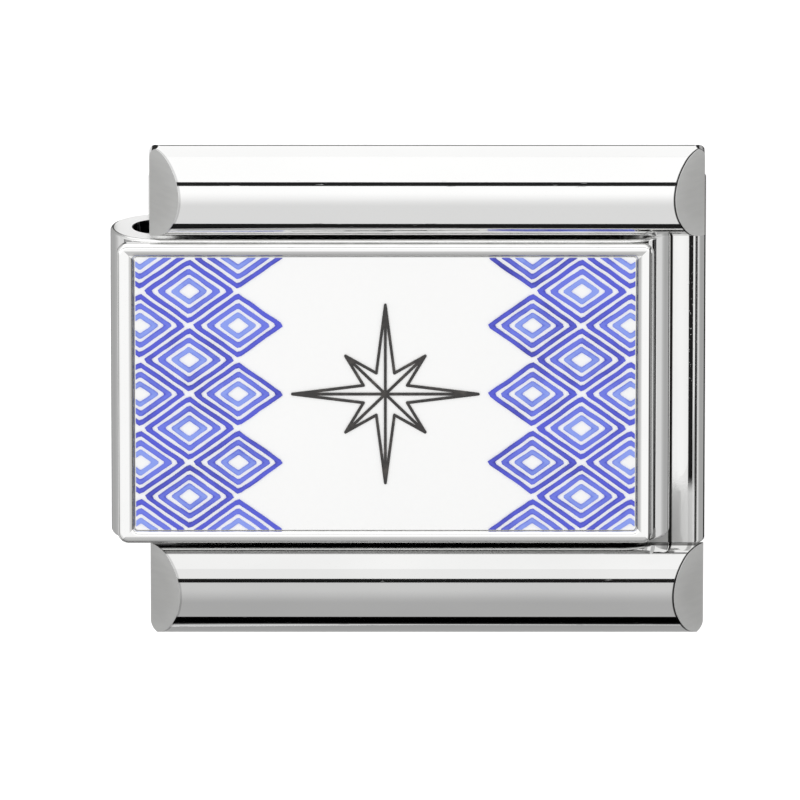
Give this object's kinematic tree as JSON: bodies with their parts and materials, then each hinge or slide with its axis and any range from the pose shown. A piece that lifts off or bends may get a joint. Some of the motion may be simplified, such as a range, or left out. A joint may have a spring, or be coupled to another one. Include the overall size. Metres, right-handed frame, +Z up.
{
  "type": "modular charm bracelet link",
  "caption": "Polished steel link of a modular charm bracelet: a picture face on a hollow sleeve, tied by sprung bows to a lower sleeve with bevelled side rails.",
  "frame": {"origin": "middle of the link's bounding box, on the back face that it lies on", "axes": "+X along the bracelet, +Y across it towards the back rail, +Z up through the picture face"},
  "size_m": [0.0106, 0.009, 0.0031],
  "materials": {
    "steel_base": "polished stainless steel",
    "steel_rail": "polished stainless steel, with the bevelled ends satin",
    "steel_sleeve": "polished stainless steel",
    "steel_rim": "polished stainless steel",
    "steel_bow": "pressed steel",
    "steel_spring": "spring steel",
    "white_ground": "white printed ground under clear resin",
    "blue_deep": "print, deep blue",
    "blue_mid": "print, mid blue",
    "blue_pale": "print, pale blue",
    "ink_line": "print, dark line"
  },
  "bodies": {
    "base": {"base_sleeve": "steel_base", "side_rail_back": "steel_rail", "side_rail_front": "steel_rail", "base_spring": "steel_spring"},
    "bows": {"bow_back": "steel_bow", "bow_front": "steel_bow"},
    "face": {"face_sleeve": "steel_sleeve", "face_spring": "steel_spring", "face_tray": "steel_rim", "picture_panel": "white_ground", "diamonds_deep": "blue_deep", "diamonds_mid": "blue_mid", "diamonds_pale": "blue_pale", "star_outline": "ink_line"}
  },
  "joints": [
    {"name": "bow_tilt", "type": "hinge", "parent": "base", "child": "bows", "pos_m": [0.00398, 0, 0.00043], "axis": [0, 1, 0], "range_deg": [0, 18], "stiffness_Nm_per_rad": 0.00003, "springref_deg": -8.59, "deforming": ["base_spring"]},
    {"name": "face_lift", "type": "hinge", "parent": "bows", "child": "face", "pos_m": [0.00398, 0, 0.002], "axis": [0, 1, 0], "range_deg": [0, 90], "stiffness_Nm_per_rad": 0.00003, "springref_deg": -8.59, "deforming": ["face_spring"]}
  ]
}
